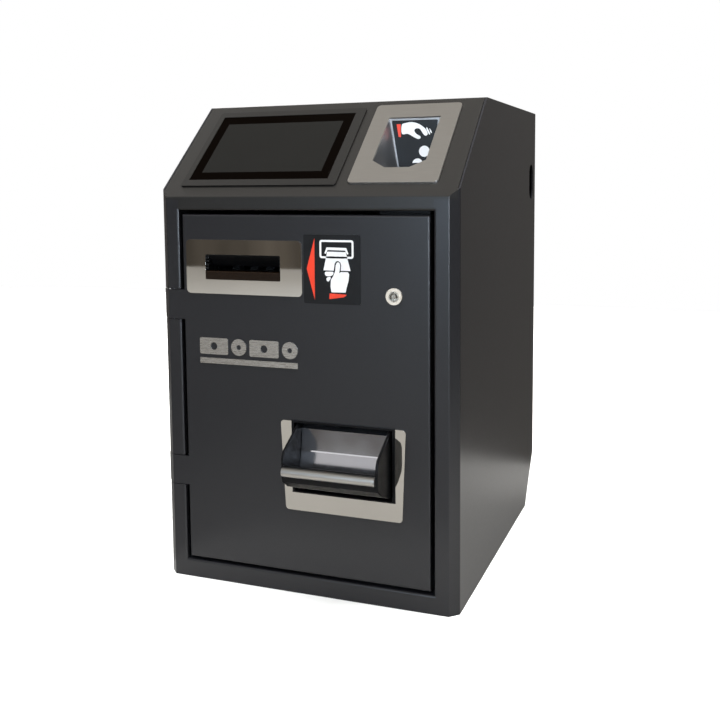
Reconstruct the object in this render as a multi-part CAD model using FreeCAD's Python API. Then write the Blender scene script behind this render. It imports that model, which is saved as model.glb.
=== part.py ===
import FreeCAD, Part
import math
import os

from FreeCAD import Placement, Rotation, Vector

# A countertop automatic cash machine: a sheet-steel cabinet with a touch screen and a coin funnel
# on its sloped fascia, and an inset door that carries the note mouth, the lock and the coin tray.
# It is drawn with its front face in the plane y = 0, its middle at x = 0 and its underside at z = 0,
# and every shape is saved about the centre of the four anchor holes in its base. Millimetres.

# Cabinet
WIDTH = 350.0
DEPTH = 420.0
HEIGHT = 549.0
FOLD_Z = 441.0
ROOF_Y = 125.0
REAR_CUT_Y = 55.0
REAR_CUT_Z = 65.0
SHEET = 2.0
CORNER = 9.6
BEND = 2.5
SEAM = 0.6
STILE_TOP = FOLD_Z - 3.0
HALF = WIDTH / 2
SIDE_IN = HALF - SHEET
SLOPE = math.degrees(math.atan2(HEIGHT - FOLD_Z, ROOF_Y))

# Anchor holes in the base
ANCHOR_Y = 185.0
ANCHOR_DX = 260.0
ANCHOR_DY = 240.0
ANCHOR_R = 4.5

# Door and its opening
OPEN_X = 149.5
OPEN_LOW = 20.5
OPEN_TOP = 426.0
FRAME_RETURN = 22.0
DOOR_X = 145.5
DOOR_LOW = 24.0
DOOR_TOP = 421.5
DOOR_RETURN = 18.0

# Hinges: two tabs of the door skin wrap round the cabinet's left front corner
PIN_X = -163.0
PIN_Y = 9.0
PIN_R = 3.0
PIN_GAP = 0.06
TIGHT = 0.04
TAB_HEIGHT = 33.6
TAB_LOWS = {"lower": 109.5, "upper": 302.5}
TAB_CLEAR = 0.8
TAB_PROUD = 1.0
TAB_BACK = 15.0
NOTCH_BACK = 20.0

# Rear cover screws and the flanges they enter
FLANGE = 16.0
SCREW_X = 162.0
SCREW_ZS = (85.0, 235.0, 385.0, 530.0)
SCREW_R = 2.0

# Side slot
SLOT_Y = 391.5
SLOT_Z = 454.0
SLOT_WIDTH = 27.0
SLOT_LENGTH = 48.0

# Note mouth on the door: x range and z range
BEZEL_X = (-140.0, 2.5)
BEZEL_Z = (333.0, 393.5)
BEZEL_THICK = 1.5
MOUTH_X = (-115.5, -23.3)
MOUTH_Z = (349.0, 377.0)
SLOT_NOTE_X = (-113.5, -25.3)
SLOT_NOTE_Z = (357.5, 363.5)
THROAT_DEEP = 20.0
THROAT_WALL = 1.6
TAPER_DEEP = 14.0
RIB_REACH = 2.5
LIP_X = (-113.0, -25.8)
LIP_FRONT_X = (-115.0, -23.8)

# Label and badge on the door
LABEL_X = (4.3, 69.6)
LABEL_Z = (326.5, 400.6)
BADGE_X = (-125.0, -4.0)
BADGE_Z = (253.8, 283.0)
BADGE_BAR = 6.4

# Cam lock
LOCK_X = 106.9
LOCK_Z = 337.1
LOCK_FACE_R = 8.8
LOCK_BODY_R = 8.0
PLUG_R = 5.4
PLUG_GAP = 0.06
CAM_REACH = 48.0
CAM_Y = (22.6, 25.0)

# Coin tray
TRAY_X = (-7.0, 102.0)
TRAY_WALL = 2.6
TRAY_FRAME_X = (-12.3, 107.3)
TRAY_FRAME_Z = (116.1, 196.2)
TRAY_THROAT_X = (-9.1, 104.1)
TRAY_THROAT_Z = (117.8, 194.4)
TRAY_THROAT_WALL = 1.3
TRAY_THROAT_DEEP = 24.0
TRAY_ROOF_DEEP = 8.0
TRAY_PIVOT = (4.0, 122.5)
TRAY_PIN_R = 1.6
TRAY_LIP = (-41.5, 157.6)
HANDLE_R = 5.3
HANDLE_Z = 151.4

# Fascia: positions are measured across (x) and up the slope (v)
SCREEN_X = (-153.4, 36.5)
SCREEN_V = (17.0, 151.5)
GLASS_X = (-146.5, 25.0)
GLASS_V = (27.0, 142.5)
COIN_X = (49.0, 149.5)
COIN_V = (20.0, 155.0)
COIN_MOUTH = [(69.0, 131.0), (129.0, 131.0), (129.0, 55.6), (113.0, 44.0), (85.5, 44.0), (69.0, 55.6)]
COIN_MID = 99.0
FUNNEL_LOW_Z = 438.0

# Modules inside
SHELF_Z = 28.0
NOTE_X = (-128.0, -12.0)
CASH_BOX_TOP = 150.0
STORE_TOP = 302.0
COIN_CASE_X = (4.0, 142.0)
DRUM_AXIS = (118.0, 226.0)
DRUM_R = 44.0
ROLLER_R = 8.0
ROLLER_Y = 52.0
ROLLER_NIP = 360.5
DISC_X = 73.0
DISC_Y = 140.0
DISC_R = 50.0
FAN_X = 80.0
FAN_Z = 400.0
FAN_SIZE = 80.0
INLET_U = 95.0
INLET_V = 44.0
ROCKER_W = -3.0

# Sockets beside it: left end, width and height of each
PORTS = [(-108.0, 16.5, 14.0), (-88.0, 14.5, 7.5), (-70.0, 14.5, 7.5)]
PORT_PLAY = 0.4


def box(x0, x1, y0, y1, z0, z1):
    return Part.makeBox(x1 - x0, y1 - y0, z1 - z0, Vector(x0, y0, z0))


def rod(radius, start, axis, length):
    return Part.makeCylinder(radius, length, Vector(*start), Vector(*axis))


def tube(outer, inner, start, axis, length):
    return rod(outer, start, axis, length).cut(rod(inner, start, axis, length))


def face_of(points):
    corners = [Vector(*p) for p in points]
    return Part.Face(Part.makePolygon(corners + [corners[0]]))


def prism_x(outline, x0, x1):
    """Extrude an outline of (y, z) points from x0 to x1."""
    return face_of([(x0, y, z) for y, z in outline]).extrude(Vector(x1 - x0, 0, 0))


def prism_y(outline, y0, y1):
    """Extrude an outline of (x, z) points from y0 to y1."""
    return face_of([(x, y0, z) for x, z in outline]).extrude(Vector(0, y1 - y0, 0))


def prism_z(outline, z0, z1):
    """Extrude an outline of (x, y) points from z0 to z1."""
    return face_of([(x, y, z0) for x, y in outline]).extrude(Vector(0, 0, z1 - z0))


def round_upright(shape, radius):
    """Round every edge that runs along z."""
    edges = [e for e in shape.Edges if runs_along(e, 2)]
    return shape.makeFillet(radius, edges)


def runs_along(edge, axis):
    """True for an edge parallel to x, y or z (axis 0, 1 or 2)."""
    if len(edge.Vertexes) < 2:
        return False
    step = edge.Vertexes[1].Point.sub(edge.Vertexes[0].Point)
    others = [abs(step[i]) for i in range(3) if i != axis]
    return max(others) < 1e-6 and abs(step[axis]) > 1e-6


def edges_at(shape, axis, **place):
    """Edges parallel to an axis whose ends have the given x, y or z."""
    found = []
    for edge in shape.Edges:
        if runs_along(edge, axis):
            start = edge.Vertexes[0].Point
            if all(abs(getattr(start, key) - value) < 1e-4 for key, value in place.items()):
                found.append(edge)
    return found


def plate(xs, vs, ws, radius=0.0):
    """A flat plate with rounded corners, drawn in x, v (up the face) and w (out of the face)."""
    shape = box(xs[0], xs[1], vs[0], vs[1], ws[0], ws[1])
    return round_upright(shape, radius) if radius else shape


def moved_by(placement, shape):
    shape.Placement = placement.multiply(shape.Placement)
    return shape


def on_front(shape):
    """Stand a plate up on the front face: v becomes z and w points to the front."""
    return moved_by(Placement(Vector(0, 0, 0), Rotation(Vector(1, 0, 0), 90)), shape)


def on_slope(shape):
    """Lay a plate on the sloped fascia."""
    return moved_by(Placement(Vector(0, 0, FOLD_Z), Rotation(Vector(1, 0, 0), SLOPE)), shape)


def on_rear_cut(shape):
    """Lay a plate on the slanted panel below the rear face, with x running to the left."""
    turn = math.degrees(math.atan2(REAR_CUT_Z, REAR_CUT_Y)) - 180
    spin = Rotation(Vector(1, 0, 0), turn).multiply(Rotation(Vector(0, 0, 1), 180))
    return moved_by(Placement(Vector(0, DEPTH - REAR_CUT_Y, 0), spin), shape)


def fuse(*shapes):
    return shapes[0].multiFuse(list(shapes[1:])).removeSplitter()


def group(*shapes):
    return Part.makeCompound(list(shapes))


def offset_outline(points, distance):
    """Move every side of an outline outwards by a distance; the points run clockwise."""
    moved = []
    count = len(points)
    for i in range(count):
        before, here, after = points[i - 1], points[i], points[(i + 1) % count]
        first = unit(here[0] - before[0], here[1] - before[1])
        second = unit(after[0] - here[0], after[1] - here[1])
        normal_1 = (-first[1], first[0])
        normal_2 = (-second[1], second[0])
        scale = distance / (1 + normal_1[0] * normal_2[0] + normal_1[1] * normal_2[1])
        step = (scale * (normal_1[0] + normal_2[0]), scale * (normal_1[1] + normal_2[1]))
        moved.append((here[0] + step[0], here[1] + step[1]))
    return moved


def unit(a, b):
    length = math.hypot(a, b)
    return a / length, b / length


# ---------------------------------------------------------------- cabinet

def cabinet_solid(inset):
    """The cabinet as a full block, with every face moved in by inset."""
    outline = [(0, 0), (0, FOLD_Z), (ROOF_Y, HEIGHT), (DEPTH, HEIGHT)]
    outline += [(DEPTH, REAR_CUT_Z), (DEPTH - REAR_CUT_Y, 0)]
    half = HALF - inset
    block = prism_x(offset_outline(outline, -inset), -half, half)
    leg = CORNER - inset * (2 - math.sqrt(2))
    corners = [e for x in (-half, half) for e in edges_at(block, 2, x=x, y=inset)]
    return block.makeChamfer(leg, corners)


def cabinet_shell():
    """The bent outer sheet: hollow, with the door opening and its returns, and rounded bends."""
    outer = cabinet_solid(0)
    bends = edges_at(outer, 0, y=0, z=FOLD_Z) + edges_at(outer, 0, y=ROOF_Y, z=HEIGHT)
    bends += edges_at(outer, 0, y=DEPTH, z=HEIGHT)
    for x in (HALF, HALF - CORNER):
        for side in (-x, x):
            y = 0 if x < HALF else CORNER
            bends += edges_at(outer, 2, x=side, y=y)
    outer = outer.makeFillet(BEND * 0.8, bends)
    shell = outer.cut(cabinet_solid(SHEET))
    ring = box(-OPEN_X - SHEET, OPEN_X + SHEET, 0, FRAME_RETURN, OPEN_LOW - SHEET, OPEN_TOP + SHEET)
    shell = shell.fuse(ring)
    shell = shell.cut(box(-OPEN_X, OPEN_X, -1, FRAME_RETURN + 1, OPEN_LOW, OPEN_TOP)).removeSplitter()
    rim = [e for x in (-OPEN_X, OPEN_X) for e in edges_at(shell, 2, x=x, y=0)]
    rim += [e for z in (OPEN_LOW, OPEN_TOP) for e in edges_at(shell, 0, y=0, z=z)]
    return shell.makeFillet(BEND, rim)


def side_zone(side):
    """The room of one side panel: the side itself, the front corner and the stile beside the door."""
    panel = box(SIDE_IN, HALF + 1, -1, DEPTH + 1, -1, HEIGHT + 1)
    stile = box(OPEN_X, SIDE_IN, -1, FRAME_RETURN + 0.5, SHEET, STILE_TOP)
    zone = fuse(panel, stile)
    return zone if side > 0 else zone.mirror(Vector(0, 0, 0), Vector(1, 0, 0))


def side_panel(shell, side):
    """One side with its front corner, its stile and the flange that the rear cover screws onto."""
    inner = side * SIDE_IN
    edge = side * (SIDE_IN - FLANGE)
    z0, z1 = REAR_CUT_Z + 6, HEIGHT - SHEET - 4
    flange = box(min(inner, edge), max(inner, edge), DEPTH - 2 * SHEET, DEPTH - SHEET, z0, z1)
    for z in SCREW_ZS:
        flange = flange.cut(rod(SCREW_R + TIGHT, (side * SCREW_X, DEPTH - 10, z), (0, 1, 0), 10))
    return fuse(shell.common(side_zone(side)), flange)


def right_side_panel(shell):
    reach = (SLOT_LENGTH - SLOT_WIDTH) / 2
    radius = SLOT_WIDTH / 2
    slot = box(SIDE_IN - 1, HALF + 1, SLOT_Y - radius, SLOT_Y + radius, SLOT_Z - reach, SLOT_Z + reach)
    for z in (SLOT_Z - reach, SLOT_Z + reach):
        slot = slot.fuse(rod(radius, (SIDE_IN - 1, SLOT_Y, z), (1, 0, 0), SHEET + 2))
    return side_panel(shell, 1).cut(slot)


def left_side_panel(shell):
    panel = side_panel(shell, -1)
    for low in TAB_LOWS.values():
        high = low + TAB_HEIGHT + TAB_CLEAR
        panel = panel.cut(box(-HALF - 1, -OPEN_X + 1, -1, NOTCH_BACK, low - TAB_CLEAR, high))
        panel = panel.cut(box(-SIDE_IN, -OPEN_X + 1, -1, FRAME_RETURN + 1, low - TAB_CLEAR, high))
    return panel


def fascia(shell):
    """Header over the door, sloped front and roof, bent from one sheet, with its two cut-outs."""
    inside = SIDE_IN - SEAM
    header = box(-OPEN_X, OPEN_X, -1, FRAME_RETURN + 1, OPEN_TOP - 1, STILE_TOP)
    fold = box(-SIDE_IN, SIDE_IN, -1, CORNER, STILE_TOP, FOLD_Z + 20)
    slope_and_roof = box(-inside, inside, CORNER, DEPTH - SHEET, STILE_TOP, HEIGHT + 1)
    roof_edge = box(-inside, inside, DEPTH - SHEET, DEPTH + 1, HEIGHT - SHEET, HEIGHT + 1)
    sheet = shell.common(fuse(header, fold, slope_and_roof, roof_edge))
    glass_rim = 6
    hole_x = (GLASS_X[0] + glass_rim, GLASS_X[1] - glass_rim)
    hole_v = (GLASS_V[0] + glass_rim, GLASS_V[1] - glass_rim)
    screen_hole = on_slope(plate(hole_x, hole_v, (-5, 5)))
    coin_hole = on_slope(plate((COIN_MID - 34, COIN_MID + 34), (41, 135.5), (-5, 5)))
    return sheet.cut(screen_hole).cut(coin_hole)


def base_plate(shell):
    """Floor of the cabinet with the rail under the door, four anchor holes and a cable hole."""
    floor = box(-SIDE_IN, SIDE_IN, -1, DEPTH, -1, SHEET)
    rail = box(-OPEN_X, OPEN_X, -1, FRAME_RETURN + 1, SHEET, OPEN_LOW + 1)
    sheet = shell.common(fuse(floor, rail))
    for x in (-ANCHOR_DX / 2, ANCHOR_DX / 2):
        for y in (ANCHOR_Y - ANCHOR_DY / 2, ANCHOR_Y + ANCHOR_DY / 2):
            sheet = sheet.cut(rod(ANCHOR_R, (x, y, -1), (0, 0, 1), SHEET + 2))
    return sheet


def rear_panel(shell):
    """Removable rear cover with a fan opening, cooling slots and screw holes."""
    inside = SIDE_IN - SEAM
    sheet = shell.common(box(-inside, inside, DEPTH - SHEET, DEPTH + 1, REAR_CUT_Z + 1, HEIGHT - SHEET))
    sheet = sheet.cut(rod(FAN_SIZE / 2 - 3, (FAN_X, DEPTH - 5, FAN_Z), (0, 1, 0), 10))
    for row in range(9):
        z = 140 + row * 14
        sheet = sheet.cut(box(20, 140, DEPTH - 5, DEPTH + 5, z, z + 4))
        sheet = sheet.cut(box(-150, -80, DEPTH - 5, DEPTH + 5, z, z + 4))
    for x in (-SCREW_X, SCREW_X):
        for z in SCREW_ZS:
            sheet = sheet.cut(rod(SCREW_R + 0.3, (x, DEPTH - 5, z), (0, 1, 0), 10))
    return sheet


def rear_screws():
    """Slotted screws that hold the rear cover to the flanges of the sides."""
    screws = []
    for x in (-SCREW_X, SCREW_X):
        for z in SCREW_ZS:
            head = rod(4.2, (x, DEPTH, z), (0, 1, 0), 2.2)
            shank = rod(SCREW_R, (x, DEPTH - 6, z), (0, 1, 0), 6)
            slot = box(x - 5, x + 5, DEPTH + 1.2, DEPTH + 3, z - 0.6, z + 0.6)
            screws.append(head.cut(slot).fuse(shank))
    return group(*screws)


def connector_panel(shell):
    """Slanted sheet under the rear cover that carries the mains inlet and the data ports."""
    inside = SIDE_IN - SEAM
    sheet = shell.common(box(-inside, inside, DEPTH - REAR_CUT_Y - 4, DEPTH + 1, SHEET, REAR_CUT_Z + 1))
    holes = [(INLET_U + u0, INLET_U + u1, 15) for u0, u1 in ((-29, 3.5), (6.2, 29))]
    for u, width, height in PORTS:
        holes.append((u - PORT_PLAY, u + width + PORT_PLAY, height / 2 + PORT_PLAY))
    for u0, u1, half in holes:
        sheet = sheet.cut(on_rear_cut(plate((u0, u1), (INLET_V - half, INLET_V + half), (-5, 5))))
    return sheet


def hinge_brackets():
    """C-shaped bracket inside the left side at each hinge, with an eye above and below the tab."""
    brackets = []
    room = cabinet_solid(SHEET)
    for low in TAB_LOWS.values():
        z0 = low - 7.0
        z1 = low + TAB_HEIGHT + 7.0
        flange = box(-SIDE_IN, -SIDE_IN + 3, 27, 58, z0, z1)
        upper = box(-SIDE_IN, -155, 4, 58, z1 - 4, z1)
        lower = box(-SIDE_IN, -155, 4, 58, z0, z0 + 4)
        bracket = fuse(flange, upper, lower).common(room)
        bracket = bracket.cut(rod(PIN_R + PIN_GAP, (PIN_X, PIN_Y, z0 - 1), (0, 0, 1), z1 - z0 + 2))
        brackets.append(bracket)
    return group(*brackets)


# ---------------------------------------------------------------- screen and coin entry

def screen_frame():
    frame = plate(SCREEN_X, SCREEN_V, (0, 1.8), 3.0)
    return on_slope(frame.cut(plate(GLASS_X, GLASS_V, (-1, 3))))


def touch_glass():
    xs = (GLASS_X[0] + 0.2, GLASS_X[1] - 0.2)
    vs = (GLASS_V[0] + 0.2, GLASS_V[1] - 0.2)
    return on_slope(plate(xs, vs, (0.0, 1.5)))


def display_module():
    """Flat screen module behind the glass: its face fills the cut-out and its case lies against it."""
    face = plate((GLASS_X[0] + 7, GLASS_X[1] - 7), (GLASS_V[0] + 7, GLASS_V[1] - 7), (-SHEET, 0))
    case_x = (GLASS_X[0] - 2, GLASS_X[1] + 2)
    case_v = (GLASS_V[0] - 2, GLASS_V[1] + 2)
    return on_slope(fuse(face, plate(case_x, case_v, (-14.0, -SHEET), 3.0)))


def coin_bezel():
    cover = plate(COIN_X, COIN_V, (0, 2.0), 5.0)
    return on_slope(cover.cut(prism_z(COIN_MOUTH, -1, 3)))


def funnel_outlet():
    """Outline of the funnel's outlet, one corner for each corner of the mouth."""
    back = COIN_MOUTH[0][1] * math.cos(math.radians(SLOPE))
    left, right = COIN_MID - 15, COIN_MID + 15
    return [(left, back), (right, back), (right, 78.0), (right - 7, 72.0), (left + 7, 72.0), (left, 78.0)]


def funnel_loft(grow):
    """Solid between the coin mouth and the outlet, grown by a wall thickness."""
    top = on_slope(face_of([(x, v, 0) for x, v in offset_outline(COIN_MOUTH, grow)])).OuterWire
    low = face_of([(x, y, FUNNEL_LOW_Z) for x, y in offset_outline(funnel_outlet(), grow)]).OuterWire
    return Part.makeLoft([top, low], True, True)


def coin_funnel():
    flange = on_slope(plate((COIN_MID - 40, COIN_MID + 40), (37, 140), (-SHEET - 1, -SHEET)))
    return flange.fuse(funnel_loft(1.0)).cut(funnel_loft(0)).removeSplitter()


def coin_label():
    back = COIN_MOUTH[0][1] * math.cos(math.radians(SLOPE))
    label = prism_y([(71.2, 524.6), (125.5, 524.6), (118.5, 472.4), (79.6, 472.4)], back - 0.3, back)
    return label.makeFillet(1.4, [edge for edge in label.Edges if runs_along(edge, 1)])


# ---------------------------------------------------------------- door

def door_tab(low):
    """Strip of the door skin that crosses the stile and wraps round the cabinet's corner."""
    far = HALF + TAB_PROUD
    leg = far - HALF + CORNER
    inner = SHEET * (math.sqrt(2) - 1)
    strip = [
        (-DOOR_X + 3, 0),
        (-DOOR_X + 3, SHEET),
        (-far + leg + inner, SHEET),
        (-far + SHEET, leg + inner),
        (-far + SHEET, TAB_BACK),
        (-far, TAB_BACK),
        (-far, leg),
        (-far + leg, 0),
    ]
    tab = prism_z(strip, low, low + TAB_HEIGHT)
    lug = [
        (-far + 1.5, leg + 1.2),
        (-far + leg + 1.2, 1.5),
        (-150, 1.5),
        (-150, 13),
        (-156, 16),
        (-169, 16),
        (-far + 1.5, 13),
    ]
    for z in (low + 3, low + TAB_HEIGHT - 6):
        tab = tab.fuse(prism_z(lug, z, z + 3))
    return tab.cut(rod(PIN_R + TIGHT, (PIN_X, PIN_Y, low - 1), (0, 0, 1), TAB_HEIGHT + 2))


def door_panel():
    """Pressed door skin with returns on all four sides, its hinge tabs and its three openings."""
    block = box(-DOOR_X, DOOR_X, 0, DOOR_RETURN, DOOR_LOW, DOOR_TOP)
    rim = edges_at(block, 2, y=0) + edges_at(block, 0, y=0)
    block = block.makeFillet(BEND, rim)
    half = DOOR_X - SHEET
    skin = block.cut(box(-half, half, SHEET, DOOR_RETURN + 1, DOOR_LOW + SHEET, DOOR_TOP - SHEET))
    skin = fuse(skin, *[door_tab(low) for low in TAB_LOWS.values()])
    play = 0.3
    x0, x1 = MOUTH_X[0] - THROAT_WALL - play, MOUTH_X[1] + THROAT_WALL + play
    z0, z1 = MOUTH_Z[0] - THROAT_WALL - play, MOUTH_Z[1] + THROAT_WALL + play
    skin = skin.cut(box(x0, x1, -1, 3, z0, z1))
    x0, x1 = TRAY_THROAT_X[0] - TRAY_THROAT_WALL - play, TRAY_THROAT_X[1] + TRAY_THROAT_WALL + play
    z0, z1 = TRAY_THROAT_Z[0] - TRAY_THROAT_WALL - play, TRAY_THROAT_Z[1] + TRAY_THROAT_WALL + play
    skin = skin.cut(box(x0, x1, -1, 3, z0, z1))
    return skin.cut(rod(LOCK_BODY_R + 0.2, (LOCK_X, -1, LOCK_Z), (0, 1, 0), 4))


def door_stiffener():
    """Hat-section bar across the back of the door, between the note mouth and the tray."""
    hat = [(2, 222), (2, 236), (12, 240), (12, 262), (2, 266), (2, 280)]
    hat += [(4, 280), (4, 267.5), (14, 263.5), (14, 238.5), (4, 234.5), (4, 222)]
    return prism_x(hat, -132, 132)


def hinge_pins():
    pins = []
    for low in TAB_LOWS.values():
        pin = rod(PIN_R, (PIN_X, PIN_Y, low - 8.5), (0, 0, 1), TAB_HEIGHT + 17)
        pins.append(pin.fuse(rod(PIN_R + 1.5, (PIN_X, PIN_Y, low + TAB_HEIGHT + 7.5), (0, 0, 1), 1.5)))
    return group(*pins)


def note_bezel():
    cover = plate(BEZEL_X, BEZEL_Z, (0, BEZEL_THICK), 5.0)
    return on_front(cover.cut(plate(MOUTH_X, MOUTH_Z, (-1, 3), 1.5)))


def rectangle(xs, zs, y):
    return face_of([(xs[0], y, zs[0]), (xs[1], y, zs[0]), (xs[1], y, zs[1]), (xs[0], y, zs[1])]).OuterWire


def note_throat():
    """Black funnel behind the bezel that guides a note into the slot."""
    x0, x1 = MOUTH_X[0] - THROAT_WALL, MOUTH_X[1] + THROAT_WALL
    z0, z1 = MOUTH_Z[0] - THROAT_WALL, MOUTH_Z[1] + THROAT_WALL
    body = box(x0, x1, 0, THROAT_DEEP, z0, z1)
    flange = box(x0 - 4, x1 + 4, SHEET, SHEET + 2, z0 - 4, z1 + 4)
    outer = rectangle(MOUTH_X, MOUTH_Z, 0)
    inner = rectangle(SLOT_NOTE_X, SLOT_NOTE_Z, TAPER_DEEP)
    slot = box(*SLOT_NOTE_X, TAPER_DEEP, THROAT_DEEP + 1, *SLOT_NOTE_Z)
    throat = fuse(body, flange).cut(Part.makeLoft([outer, inner], True, True)).cut(slot)
    ribs = []
    for z in (360.8, 364.6, 368.4, 372.2):
        ribs.append(box(x0 + 0.5, MOUTH_X[0] + RIB_REACH, 1.5, 9.0, z, z + 1.8))
        ribs.append(box(MOUTH_X[1] - RIB_REACH, x1 - 0.5, 1.5, 9.0, z, z + 1.8))
    return fuse(throat, *ribs)


def note_lip():
    """Smoked light bar that lies on the lower ramp of the throat and stands a little out of the bezel."""
    rise = (SLOT_NOTE_Z[0] - MOUTH_Z[0]) / TAPER_DEEP
    join, rear = 0.3, 12.0
    low, top = MOUTH_Z[0] + 0.5, 358.3
    inside = [(join, MOUTH_Z[0] + rise * join), (join, top), (rear, top), (rear, MOUTH_Z[0] + rise * rear)]
    front = [(-2.5, low), (join, low), (join, top), (-1.7, top), (-2.5, top - 0.8)]
    return fuse(prism_x(inside, *LIP_X), prism_x(front, *LIP_FRONT_X))


def note_label():
    return on_front(plate(LABEL_X, LABEL_Z, (0, 0.4), 2.0))


def badge():
    """Plain steel emblem: a bar under two notes and two coins."""
    thick = (0, 1.5)
    low = BADGE_Z[0] + BADGE_BAR + 4
    high = BADGE_Z[1]
    coin = (high - low) / 2
    gap = 4.0
    note = (BADGE_X[1] - BADGE_X[0] - 4 * coin - 3 * gap) / 2
    pieces = [plate(BADGE_X, (BADGE_Z[0], BADGE_Z[0] + BADGE_BAR), thick)]
    x = BADGE_X[0]
    for _ in range(2):
        sheet = plate((x, x + note), (low, high), thick, 2.0)
        middle = (x + note / 2, (low + high) / 2, -1)
        pieces.append(sheet.cut(rod(coin * 0.45, middle, (0, 0, 1), 4)))
        x += note + gap
        centre = (x + coin, (low + high) / 2, 0)
        pieces.append(tube(coin, coin * 0.3, centre, (0, 0, 1), thick[1]))
        x += 2 * coin + gap
    return on_front(group(*pieces))


# ---------------------------------------------------------------- lock

def lock_barrel():
    front = rod(LOCK_FACE_R, (LOCK_X, LOCK_Z, 0), (0, 0, 1), 2.5)
    body = rod(LOCK_BODY_R, (LOCK_X, LOCK_Z, -22), (0, 0, 1), 22)
    bore = rod(PLUG_R + PLUG_GAP, (LOCK_X, LOCK_Z, -23), (0, 0, 1), 30)
    return on_front(front.fuse(body).cut(bore).removeSplitter())


def lock_nut():
    angles = [math.radians(turn) for turn in range(0, 360, 60)]
    nut = prism_z([(LOCK_X + 12 * math.cos(a), LOCK_Z + 12 * math.sin(a)) for a in angles], -6, -SHEET)
    return on_front(nut.cut(rod(LOCK_BODY_R, (LOCK_X, LOCK_Z, -7), (0, 0, 1), 6)))


def lock_plug():
    """Turning core with a ring-shaped keyway and a locating notch; its tail drives the cam."""
    core = rod(PLUG_R, (LOCK_X, LOCK_Z, -22.3), (0, 0, 1), 25.3)
    ring = tube(4.1, 2.5, (LOCK_X, LOCK_Z, -3), (0, 0, 1), 7)
    notch = box(LOCK_X - 0.7, LOCK_X + 0.7, LOCK_Z + 3.8, LOCK_Z + 6, -3, 4)
    tail = rod(3.5, (LOCK_X, LOCK_Z, -28), (0, 0, 1), 6)
    return on_front(core.cut(ring).cut(notch).fuse(tail))


def lock_cam():
    arm = plate((LOCK_X - 7, LOCK_X + 7), (LOCK_Z - 7, LOCK_Z + CAM_REACH), (-CAM_Y[1], -CAM_Y[0]), 3.0)
    return on_front(arm.cut(rod(3.5 + TIGHT, (LOCK_X, LOCK_Z, -30), (0, 0, 1), 20)))


# ---------------------------------------------------------------- coin tray

def tray_plate():
    """Polished backing plate, slightly narrower at the foot, cut away where the tray comes through."""
    low, high = 95.8, TRAY_FRAME_Z[1]
    outline = [(-25.5, high), (119.2, high), (115.0, low), (-20.6, low)]
    cover = prism_z(outline, 0, BEZEL_THICK)
    slanted = [e for e in cover.Edges if runs_along(e, 2)]
    cover = cover.makeFillet(4.0, slanted)
    window = box(TRAY_FRAME_X[0] - 0.2, TRAY_FRAME_X[1] + 0.2, TRAY_FRAME_Z[0] - 0.2, high + 1, -1, 3)
    return on_front(cover.cut(window))


def tray_frame():
    """Black frame through the door: a flange outside and a short throat with the tray's pivots."""
    flange = box(*TRAY_FRAME_X, -2.5, 0, *TRAY_FRAME_Z)
    x0, x1 = TRAY_THROAT_X[0] - TRAY_THROAT_WALL, TRAY_THROAT_X[1] + TRAY_THROAT_WALL
    z0, z1 = TRAY_THROAT_Z[0] - TRAY_THROAT_WALL, TRAY_THROAT_Z[1] + TRAY_THROAT_WALL
    throat = box(x0, x1, 0, TRAY_THROAT_DEEP, z0, z1)
    frame = fuse(flange, throat).cut(box(*TRAY_THROAT_X, -5, 30, *TRAY_THROAT_Z))
    frame = frame.cut(box(*TRAY_THROAT_X, TRAY_ROOF_DEEP, 30, TRAY_THROAT_Z[1] - 1, z1 + 1))
    return frame.cut(rod(TRAY_PIN_R + 0.05, (-20, *TRAY_PIVOT), (1, 0, 0), 140))


def tray_cup():
    """Tilting coin cup: two cheeks joined by the front skin and the floor, with shouldered pivot pins."""
    front, lip = TRAY_LIP
    outside = [(10, 193.6), (1, 193.6), (-37.5, 172.5), (-41, 166.5), (front, 159)]
    outside += [(front, 146), (-40, 139.5), (-28, 131.2), (0, 120.1), (10, 120.1)]
    skin = front + TRAY_WALL
    inside = [(11, 200), (-60, 200), (-60, lip), (skin, lip), (skin, 146.5), (-37.7, 141)]
    inside += [(-26.8, 133.5), (0, 122.7), (11, 122.7)]
    left, right = TRAY_X
    cup = prism_x(outside, left, right)
    rims = [edge for edge in cup.Edges if edge.BoundBox.XLength < 1e-6 and edge.BoundBox.YMin < -5]
    cup = cup.makeFillet(1.2, rims)
    cup = cup.cut(prism_x(inside, left + TRAY_WALL, right - TRAY_WALL))
    gap = left - TRAY_THROAT_X[0]
    reach = gap + TRAY_THROAT_WALL - 0.1
    for radius, length in ((TRAY_PIN_R, reach), (2.3, gap - 0.3)):
        cup = cup.fuse(rod(radius, (left - length, *TRAY_PIVOT), (1, 0, 0), length + 1))
        cup = cup.fuse(rod(radius, (right - 1, *TRAY_PIVOT), (1, 0, 0), length + 1))
    return cup


def tray_handle():
    """Half-round bar along the front lip of the cup, between the cheeks."""
    left, right = TRAY_X[0] + 2.2, TRAY_X[1] - TRAY_WALL
    bar = rod(HANDLE_R, (left, TRAY_LIP[0], HANDLE_Z), (1, 0, 0), right - left)
    return bar.cut(box(left - 1, right + 1, TRAY_LIP[0], TRAY_LIP[0] + 10, 140, 170))


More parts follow.
